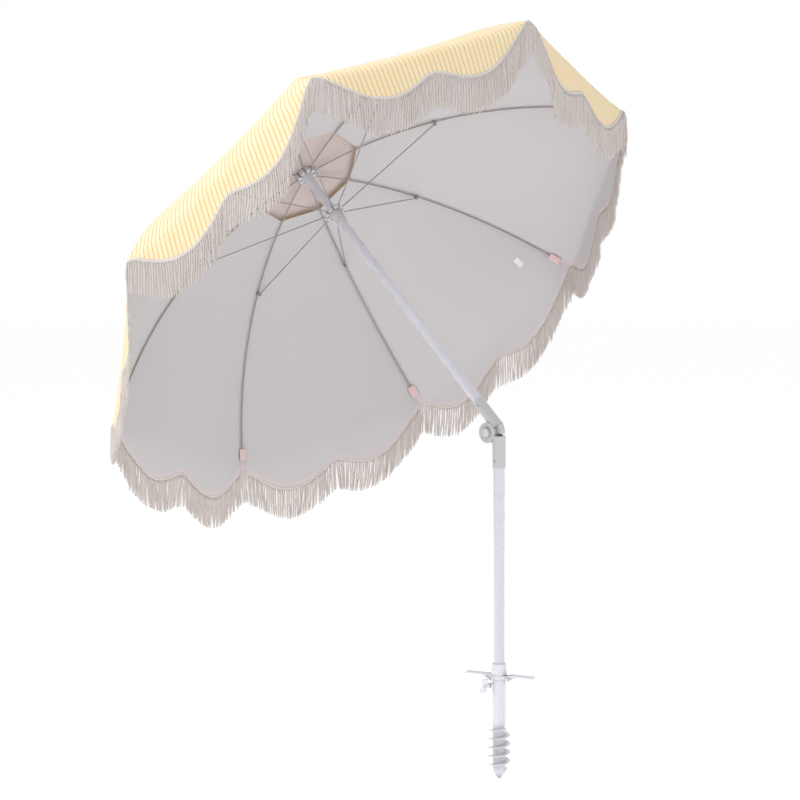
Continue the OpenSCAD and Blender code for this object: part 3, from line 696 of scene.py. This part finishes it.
class UMBRELLA_OT_canopy(bpy.types.Operator):
    """Sews the eight gores of the canopy over the ribs"""

    bl_idname = "umbrella.canopy"
    bl_label = "Canopy gores"

    def execute(self, context):
        cloth = context.scene.umbrella_cloth
        film = coated_lining("coated_lining", cloth, cloth.lining, hex_linear("#DCDADC"), 0.06)
        sides = [striped_polyester(cloth), film]
        for rib in range(1, RIBS + 1):
            self.gore(cloth, rib, sides)
        return {"FINISHED"}

    def gore(self, cloth, rib, sides):
        rows, hem_rows, half = GORE_ROWS, HEM_ROWS, cloth.columns
        lift = CLOTH_LIFT + cloth.thickness
        azimuth = (rib - 1) * SECTOR
        bm = bmesh.new()
        from_seam = bm.verts.layers.float.new("from_seam")
        to_hem = bm.verts.layers.float.new("to_hem")
        uv = bm.loops.layers.uv.new("cloth")
        bmesh.ops.create_grid(bm, x_segments=2 * half, y_segments=rows + hem_rows, size=0.5)
        columns = self.columns(cloth, rib, lift, rows, hem_rows, half)
        place = {}
        for vert in bm.verts:
            k = round((vert.co.x + 0.5) * 2 * half) - half
            j = round((0.5 - vert.co.y) * (rows + hem_rows))
            point, seam, down, hem, width = columns[k][j]
            vert.co = point
            vert[from_seam], vert[to_hem] = seam, hem
            place[vert] = (seam, down, width)
        for face in bm.faces:
            side = 1 if sum(place[v][0] for v in face.verts) > 0 else -1
            for loop in face.loops:
                seam, down, width = place[loop.vert]
                loop[uv].uv = (seam - side * width / 2, down)
        bmesh.ops.recalc_face_normals(bm, faces=bm.faces)
        up = outward(CUSP_ANGLE / 2, azimuth)
        if sum((f.normal.dot(up) for f in bm.faces)) < 0:
            bmesh.ops.reverse_faces(bm, faces=bm.faces)
        sharpen_border(bm)
        piece = finished(
            f"canopy_gore_{rib}", bm, sides, f"rib_{rib}", [f"canopy_panel_{rib}"]
        )
        fold_with(piece)
        thicken(piece, cloth.thickness)
        return piece

    def columns(self, cloth, rib, lift, rows, hem_rows, half):
        """Every column of a gore, keyed from -columns at one mid-panel to +columns at the other."""
        made = {}
        for k in range(-half, half + 1):
            panel = rib if k >= 0 else (rib - 2) % RIBS + 1
            made[k] = []
            for j in range(rows + hem_rows + 1):
                share = min(1.0, j / rows)
                angle = VENT_ANGLE + (CUSP_ANGLE - VENT_ANGLE) * share
                width = panel_width(lift, angle)
                away = seam_offsets(width / 2, half)[abs(k)]
                made[k].append((away, width, panel))
        for k, column in made.items():
            cache, out = {}, []
            for j, (away, width, panel) in enumerate(column):
                v = away / width if k >= 0 else 1 - away / width
                key = round(v, 7)
                if key not in cache:
                    cache[key] = panel_column(panel, v, lift, rows, hem_rows, cloth.wrinkle)
                point, down, hem = cache[key][j]
                angle = min(CUSP_ANGLE, down / (ARC + lift))
                crease = math.sin(angle) * math.tan(SECTOR / 2)
                drop = crease * (math.sqrt(away**2 + SEAM_SOFT**2) - away)
                raised = SEAM_RISE if away < SEAM_HALF + 1e-5 and abs(k) < 3 else 0.0
                azimuth = (rib - 1) * SECTOR
                point = point + (raised - drop) * outward(angle, azimuth)
                out.append((point, away if k >= 0 else -away, down, hem, width))
            made[k] = out
        return made


class UMBRELLA_OT_vent_cap(bpy.types.Operator):
    """Makes the lifted cap over the canopy's vent, in eight gores"""

    bl_idname = "umbrella.vent_cap"
    bl_label = "Vent cap"

    def execute(self, context):
        cloth = context.scene.umbrella_cloth
        # Painted light: the cap lining's pink tint stands in for light that comes through the cap's
        # two layers
        film = coated_lining("cap_lining", cloth, cloth.cap_lining, hex_linear("#E2D2CA"), 0.2)
        sides = [material_named("striped_polyester"), film]
        for rib in range(1, RIBS + 1):
            self.gore(cloth, rib, sides)
        return {"FINISHED"}

    def gore(self, cloth, rib, sides):
        rows, half = CAP_ROWS, CAP_COLUMNS
        azimuth = (rib - 1) * SECTOR
        neck = math.asin(CAP_NECK / ARC)
        edge = math.asin(CAP_EDGE / ARC)
        bm = bmesh.new()
        from_seam = bm.verts.layers.float.new("from_seam")
        to_hem = bm.verts.layers.float.new("to_hem")
        uv = bm.loops.layers.uv.new("cloth")
        bmesh.ops.create_grid(bm, x_segments=2 * half, y_segments=rows, size=0.5)
        place = {}
        for vert in bm.verts:
            turn = (vert.co.x + 0.5) * 2 - 1
            share = 0.5 - vert.co.y
            angle = neck + (edge - neck) * share
            side = 1 if turn >= 0 else -1
            v = abs(turn) / 2
            left = dome(CAP_LIFT, angle, azimuth)
            right = dome(CAP_LIFT, angle, azimuth + side * SECTOR)
            flat = left.lerp(right, v)
            round_point = dome(CAP_LIFT, angle, azimuth + turn * SECTOR / 2)
            point = round_point.lerp(flat, share)
            point.z += cloth.thickness + CAP_RISE * share**2
            panel = rib if side > 0 else (rib - 2) % RIBS + 1
            wave = noise.noise(Vector((panel * 3.7, abs(0.5 - v) * 5, share * 4)))
            point.z += CAP_WAVE * share * wave * min(1.0, 8 * v)
            width = panel_width(CAP_LIFT, angle)
            vert.co = point
            vert[from_seam] = turn * width / 2
            vert[to_hem] = (edge - angle) * ARC
            place[vert] = (turn * width / 2, angle * ARC, width)
        for face in bm.faces:
            side = 1 if sum(place[v][0] for v in face.verts) > 0 else -1
            for loop in face.loops:
                seam, down, width = place[loop.vert]
                loop[uv].uv = (seam - side * width / 2, down)
        bmesh.ops.recalc_face_normals(bm, faces=bm.faces)
        if sum(f.normal.z for f in bm.faces) < 0:
            bmesh.ops.reverse_faces(bm, faces=bm.faces)
        sharpen_border(bm)
        piece = finished(
            f"vent_cap_gore_{rib}", bm, sides, f"rib_{rib}", ["vent_cap"]
        )
        fold_with(piece)
        thicken(piece, cloth.thickness)


class UMBRELLA_OT_fringe(bpy.types.Operator):
    """Hangs the braid and its twisted cords from the hem"""

    bl_idname = "umbrella.fringe"
    bl_label = "Fringe"

    def execute(self, context):
        fringe = context.scene.umbrella_fringe
        cotton = cotton_cord(fringe)
        template = self.cord_template(fringe)
        for rib in range(1, RIBS + 1):
            self.segment(context, rib, cotton, template)
        bpy.data.meshes.remove(template)
        return {"FINISHED"}

    def cord_template(self, fringe):
        """One straight cord along -Z: an oval drawn out in steps and turned at each."""
        steps, sides = CORD_STEPS, CORD_SIDES
        bm = bmesh.new()
        uv = bm.loops.layers.uv.new("ply")
        bmesh.ops.create_circle(bm, cap_ends=True, segments=sides, radius=fringe.diameter / 2)
        bmesh.ops.scale(bm, vec=(1.0, 0.8, 1.0), verts=bm.verts)
        ring = list(bm.faces)[0]
        turn = Matrix.Rotation(CORD_TURN, 3, "Z")
        for n in range(steps):
            grown = bmesh.ops.extrude_face_region(bm, geom=[ring])["geom"]
            verts = [g for g in grown if isinstance(g, bmesh.types.BMVert)]
            new_ring = [g for g in grown if isinstance(g, bmesh.types.BMFace)][0]
            bmesh.ops.translate(bm, vec=(0.0, 0.0, -1.0 / steps), verts=verts)
            bmesh.ops.rotate(bm, cent=(0, 0, 0), matrix=turn, verts=verts)
            if n == steps - 1:
                bmesh.ops.scale(bm, vec=(0.6, 0.6, 1.0), verts=verts)
            bmesh.ops.delete(bm, geom=[ring], context="FACES_ONLY")
            ring = new_ring
        bmesh.ops.holes_fill(bm, edges=bm.edges, sides=sides)
        bmesh.ops.recalc_face_normals(bm, faces=bm.faces)
        for face in bm.faces:
            face.smooth = True
            for loop in face.loops:
                co = loop.vert.co
                other = face.calc_center_median()
                around = math.atan2(co.y, co.x) - math.atan2(other.y, other.x)
                around = (around + math.pi) % (2 * math.pi) - math.pi
                around += math.atan2(other.y, other.x)
                loop[uv].uv = (around / math.pi, co.z * CORD_TWIST)
        mesh = bpy.data.meshes.new("cord_template")
        bm.to_mesh(mesh)
        bm.free()
        return mesh

    def hem_line(self, cloth, rib):
        """Points of the hem's edge over one gore, with the cloth's outward direction."""
        lift = CLOTH_LIFT + cloth.thickness
        line = []
        for k in range(-HEM_SAMPLES, HEM_SAMPLES + 1):
            panel = rib if k >= 0 else (rib - 2) % RIBS + 1
            away = abs(k) / (2 * HEM_SAMPLES)
            v = away if k >= 0 else 1 - away
            column = panel_column(panel, v, lift, 4, 12, cloth.wrinkle)
            way = (column[-1][0] - column[-2][0]).normalized()
            line.append((column[-1][0], way))
        return line

    def segment(self, context, rib, cotton, template):
        cloth, fringe = context.scene.umbrella_cloth, context.scene.umbrella_fringe
        draw = random.Random(40 + rib)
        line = self.hem_line(cloth, rib)
        bm = bmesh.new()
        tone = bm.verts.layers.float.new("tone")
        uv = bm.loops.layers.uv.new("ply")
        normals = []
        for n, (point, way) in enumerate(line):
            before, after = line[max(0, n - 1)][0], line[min(len(line) - 1, n + 1)][0]
            normals.append(way.cross((after - before).normalized()).normalized())
        lengths = [0.0]
        for a, b in zip(line, line[1:]):
            lengths.append(lengths[-1] + (b[0] - a[0]).length)
        count = round(lengths[-1] / fringe.spacing)
        for n in range(count):
            where = (n + 0.5) / count * lengths[-1]
            k = next(i for i in range(1, len(lengths)) if lengths[i] >= where)
            part = (where - lengths[k - 1]) / (lengths[k] - lengths[k - 1])
            root = line[k - 1][0].lerp(line[k][0], part)
            normal = normals[k]
            way = line[k][1]
            along = where + rib * 3.0
            self.cord(bm, template, fringe, draw, root, way, normal, along, tone)
        self.braid(bm, line, normals, tone, uv)
        piece = finished(
            f"fringe_{rib}", bm, [cotton], f"rib_{rib}", ["fringe"]
        )
        fold_with(piece)
        return piece

    def braid(self, bm, line, normals, tone, uv):
        """The woven heading: a flat tube that follows the hem's edge."""
        around = 6
        count = len(line) - 1
        verts = bmesh.ops.create_grid(bm, x_segments=count, y_segments=around, size=0.5)["verts"]
        profile = [(0.004, 0.0002), (0.002, 0.0022), (-0.005, 0.0022), (-0.0075, 0.0006),
                   (-0.005, -0.0012), (0.002, -0.0016), (0.004, 0.0002)]
        faces = {f for v in verts for f in v.link_faces}
        for face in faces:
            face.smooth = True
            for loop in face.loops:
                loop[uv].uv = (loop.vert.co.x * count * 0.9, loop.vert.co.y * 4)
        for vert in verts:
            k = round((vert.co.x + 0.5) * count)
            along, out = profile[round((vert.co.y + 0.5) * around)]
            point, way = line[k]
            vert.co = point - along * way + out * normals[k]
            vert[tone] = BRAID_TONE
        bmesh.ops.remove_doubles(bm, verts=verts, dist=1e-6)
        ends = [e for f in faces for e in f.edges if e.is_boundary]
        bmesh.ops.holes_fill(bm, edges=list(set(ends)), sides=around)
        bmesh.ops.recalc_face_normals(bm, faces=list(faces))

    def cord(self, bm, template, fringe, draw, root, way, normal, where, tone):
        start = len(bm.verts)
        bm.from_mesh(template)
        bm.verts.ensure_lookup_table()
        length = fringe.length * (1 + draw.uniform(-0.035, 0.03))
        spin = Matrix.Rotation(draw.uniform(0, math.pi), 3, "Z")
        sway = Vector((
            noise.noise(Vector((where * 9, 1.7, 0.0))),
            noise.noise(Vector((where * 9, 8.1, 4.0))), 0.0,
        )) * 0.016 + Vector((draw.uniform(-1, 1), draw.uniform(-1, 1), 0.0)) * 0.0026
        curl = draw.uniform(-0.0016, 0.0016)
        shade_of_cord = draw.random()
        frame_of_cord = DOWN.to_track_quat("-Z", "Y").to_matrix()
        begin = root + CORD_STEM * way + normal * (0.0005 + draw.uniform(-0.0008, 0.0012))
        for vert in list(bm.verts)[start:]:
            t = -vert.co.z
            flat = spin @ Vector((vert.co.x, vert.co.y, 0.0))
            drift = sway * max(t, 0.0) ** 1.5 + Vector((curl * math.sin(5 * t), 0.0, 0.0))
            fall = DOWN * (length * t)
            lead = (way - DOWN) * (CORD_LEAD * (1 - math.exp(-6 * t)))
            vert.co = begin + fall + lead + frame_of_cord @ (flat + drift)
            vert[tone] = shade_of_cord


class UMBRELLA_OT_trims(bpy.types.Operator):
    """Sews on the rib pockets, the closing strap and the care tag"""

    bl_idname = "umbrella.trims"
    bl_label = "Pockets, strap and tag"

    def execute(self, context):
        cloth = context.scene.umbrella_cloth
        pocket = sewn_cloth("pocket_twill", cloth.pocket, TWILL_THREAD)
        tape = sewn_cloth("woven_strap", hex_linear("#F3D68F"), TWILL_THREAD)
        satin = sewn_cloth("satin_label", cloth.tag, SATIN_THREAD)
        tip_angle = math.asin(RIB_TIP / ARC)
        for rib in range(1, RIBS + 1):
            azimuth = (rib - 1) * SECTOR
            place = Matrix.Translation(dome(0.0, tip_angle, azimuth)) @ frame_at(tip_angle, azimuth)
            self.patch(
                f"rib_pocket_{rib}", pocket, POCKET,
                place @ Matrix.Translation((-0.011, 0.0, -0.0036)),
                f"rib_{rib}", "pocket_cloth", ["rib_pockets"], bulge=-0.0016,
            )
        self.on_cloth(
            "tie_strap_piece", tape, STRAP, panel=6, v=0.25, share=0.8, lift=0.0018,
            slot_name="canopy_cloth", node_name="tie_strap",
        )
        self.on_cloth(
            "care_tag_piece", satin, TAG, panel=3, v=0.12, share=0.85, lift=-0.0016,
            slot_name="tag_cloth", node_name="care_tag",
        )
        return {"FINISHED"}

    def on_cloth(self, name, material, size, panel, v, share, lift, slot_name, node_name):
        """A patch on the cloth of one panel, v across and share down it."""
        azimuth = (panel - 1) * SECTOR
        angle = VENT_ANGLE + (CUSP_ANGLE - VENT_ANGLE) * share
        place = Matrix.Translation(
            panel_point(CLOTH_LIFT, angle, share, v, azimuth)
            + lift * outward(angle, azimuth + SECTOR / 2)
        ) @ frame_at(angle, azimuth + SECTOR / 2)
        piece = self.patch(
            name, material, size, place, f"rib_{panel}", slot_name, [node_name]
        )
        fold_with(piece)

    def patch(self, name, material, size, place, body, slot_name, replaced, bulge=0.0):
        """A sewn-on rectangle of cloth that may bulge along its middle."""
        length, width = size
        bm = bmesh.new()
        uv = bm.loops.layers.uv.new("cloth")
        bmesh.ops.create_grid(bm, x_segments=12, y_segments=8, size=0.5)
        for vert in bm.verts:
            x, y = vert.co.x, vert.co.y
            vert.co = (x * length, y * width, bulge * (1 - (2 * y) ** 2) * min(1.0, 4 * (0.5 + x)))
        for face in bm.faces:
            face.smooth = True
            for loop in face.loops:
                loop[uv].uv = loop.vert.co.xy
        sharpen_border(bm)
        bmesh.ops.transform(bm, matrix=place, verts=bm.verts)
        piece = finished(name, bm, [material], body, replaced)
        solid = piece.modifiers.new("thickness", "SOLIDIFY")
        solid.thickness = PATCH_THICKNESS
        solid.offset = 0
        return piece


def frame_at(angle, azimuth):
    """Rotation whose Z points out of the dome and whose X runs down it."""
    return Matrix.Rotation(azimuth, 4, "Z") @ Matrix.Rotation(angle, 4, "Y")


class UMBRELLA_OT_cloth_facts(bpy.types.Operator):
    """Does nothing"""

    bl_idname = "umbrella.cloth_facts"
    bl_label = "Cloth facts"

    def execute(self, context):
        return {"FINISHED"}


def refinish(names, material):
    """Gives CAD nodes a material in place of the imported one."""
    for name in names:
        for place in NODES[name].material_slots:
            place.material = material


class UMBRELLA_OT_finishes(bpy.types.Operator):
    """Gives the anchor, poles, knuckle and wires their finishes"""

    bl_idname = "umbrella.finishes"
    bl_label = "Finishes"

    def execute(self, context):
        colours = context.scene.umbrella_finish
        anchor = moulded_plastic("moulded_polypropylene", colours.anchor, 0.0009, 0.34, 0.46)
        knuckle = moulded_plastic("moulded_nylon", colours.knuckle, 0.0007, 0.38, 0.5)
        button = moulded_plastic("moulded_button_abs", colours.button, 0.0007, 0.3, 0.4)
        paint = powder_coat("powder_coated_steel", colours.pole)
        wire = plated_wire("plated_steel_wire", colours.wire)
        zinc = turned_metal("zinc_plated_steel", "#9A9C9F", 0.28)
        brass = turned_metal("turned_brass", "#C8A24A", 0.25)
        hub = moulded_plastic("moulded_hub_nylon", colours.hub, 0.0009, 0.36, 0.48)
        refinish(["anchor_tube", "anchor_auger", "handle_ring", "handle_right", "handle_left",
                  "clamp_wing"], anchor)
        refinish(["crown_hub", "finial_cap", "runner_hub", "runner_catch"], hub)
        refinish(["lower_knuckle", "upper_knuckle", "pole_end_plug"], knuckle)
        refinish(["push_button"], button)
        refinish(["lower_pole", "upper_pole"], paint)
        refinish([f"{kind}_{n}" for kind in ("rib", "stretcher") for n in range(1, RIBS + 1)], wire)
        refinish(["handle_pins", "clamp_stud", "hinge_bolt", "hinge_nut", "button_spring",
                  "lower_screw", "upper_screw", "crown_ring", "runner_ring", "catch_pin"], zinc)
        refinish(["clamp_insert"], brass)
        return {"FINISHED"}


class UMBRELLA_OT_stage(bpy.types.Operator):
    """Sets the camera, the soft light and the pale floor"""

    bl_idname = "umbrella.stage"
    bl_label = "Stage"

    def execute(self, context):
        scene, settings = context.scene, context.scene.umbrella_stage
        data = bpy.data.cameras.new("camera")
        data.lens = settings.lens
        data.shift_x, data.shift_y = -0.00125, -0.1461
        data.clip_end = 200.0
        camera = bpy.data.objects.new("camera", data)
        camera.location = (3.451, -3.8134, 1.371)
        camera.rotation_mode = "QUATERNION"
        camera.rotation_quaternion = Vector(LOOK).to_track_quat("-Z", "Y")
        scene.collection.objects.link(camera)
        scene.camera = camera
        self.floor(scene, settings)
        self.light(scene, "key", (-2.2, -3.9, 4.9), settings.key, 2.4)
        self.light(scene, "fill", (3.4, -1.8, 4.4), settings.key * 0.4, 2.4)
        self.light(scene, "rim", (-3.4, 2.6, 3.2), settings.key * 0.25, 2.6)
        scene.world = self.world(settings)
        scene.view_settings.view_transform = "Standard"
        return {"FINISHED"}

    def world(self, settings):
        """A white backdrop that dims round to the camera's side."""
        world = bpy.data.worlds.new("studio")
        world.use_nodes = True
        tree = world.node_tree
        tree.nodes.clear()
        way = add_node(tree, "ShaderNodeTexCoord").outputs["Generated"]
        facing = add_node(
            tree, "ShaderNodeVectorMath", {"operation": "DOT_PRODUCT"}, {1: LOOK}, {0: way}
        )
        strength = add_node(
            tree, "ShaderNodeMapRange", {"interpolation_type": "SMOOTHSTEP"},
            {"From Min": -0.5, "From Max": 0.7, "To Min": settings.dim, "To Max": 1.0},
            {"Value": facing.outputs["Value"]},
        )
        back = add_node(
            tree, "ShaderNodeBackground", inputs={"Color": hex_linear("#FFFFFF")},
            links={"Strength": strength.outputs[0]},
        )
        add_node(tree, "ShaderNodeOutputWorld", links={"Surface": back.outputs[0]})
        return world

    def floor(self, scene, settings):
        bm = bmesh.new()
        bmesh.ops.create_circle(bm, cap_ends=True, segments=64, radius=60.0)
        bmesh.ops.translate(bm, vec=(0.0, 0.0, -0.0005), verts=bm.verts)
        mesh = bpy.data.meshes.new("floor")
        bm.to_mesh(mesh)
        bm.free()
        floor = bpy.data.objects.new("floor", mesh)
        material, _, _ = new_material(
            "lit_acrylic_floor", settings.floor, Roughness=0.9,
            **{"Emission Color": hex_linear("#FFFFFF"), "Emission Strength": settings.glow}
        )
        mesh.materials.append(material)
        scene.collection.objects.link(floor)

    def light(self, scene, name, place, power, size):
        data = bpy.data.lights.new(name, "AREA")
        data.energy, data.size, data.shape = power, size, "DISK"
        lamp = bpy.data.objects.new(name, data)
        lamp.location = place
        lamp.rotation_mode = "QUATERNION"
        aim = Vector((-0.4, 0.0, 1.1)) - lamp.location
        lamp.rotation_quaternion = aim.to_track_quat("-Z", "Y")
        scene.collection.objects.link(lamp)


class UMBRELLA_PT_panel(bpy.types.Panel):
    """Lists the steps that build the umbrella"""

    bl_idname = "UMBRELLA_PT_panel"
    bl_label = "Beach umbrella"
    bl_space_type = "VIEW_3D"
    bl_region_type = "UI"
    bl_category = "Umbrella"

    def draw(self, context):
        for name, group in SETTINGS.items():
            box = self.layout.box()
            for prop in group.__annotations__:
                box.prop(getattr(context.scene, name), prop)
        for operator in OPERATORS:
            self.layout.operator(operator.bl_idname)


OPERATORS = (
    UMBRELLA_OT_stage,
    UMBRELLA_OT_canopy,
    UMBRELLA_OT_vent_cap,
    UMBRELLA_OT_fringe,
    UMBRELLA_OT_trims,
    UMBRELLA_OT_cloth_facts,
    UMBRELLA_OT_finishes,
)
CLASSES = (*SETTINGS.values(), *OPERATORS, UMBRELLA_PT_panel)


def register():
    for made in CLASSES:
        bpy.utils.register_class(made)
    for name, group in SETTINGS.items():
        setattr(bpy.types.Scene, name, PointerProperty(type=group))


def unregister():
    for name in SETTINGS:
        delattr(bpy.types.Scene, name)
    for made in reversed(CLASSES):
        bpy.utils.unregister_class(made)


def main():
    register()
    for operator in OPERATORS:
        group, name = operator.bl_idname.split(".")
        getattr(getattr(bpy.ops, group), name)()


if __name__ == "__main__":
    main()
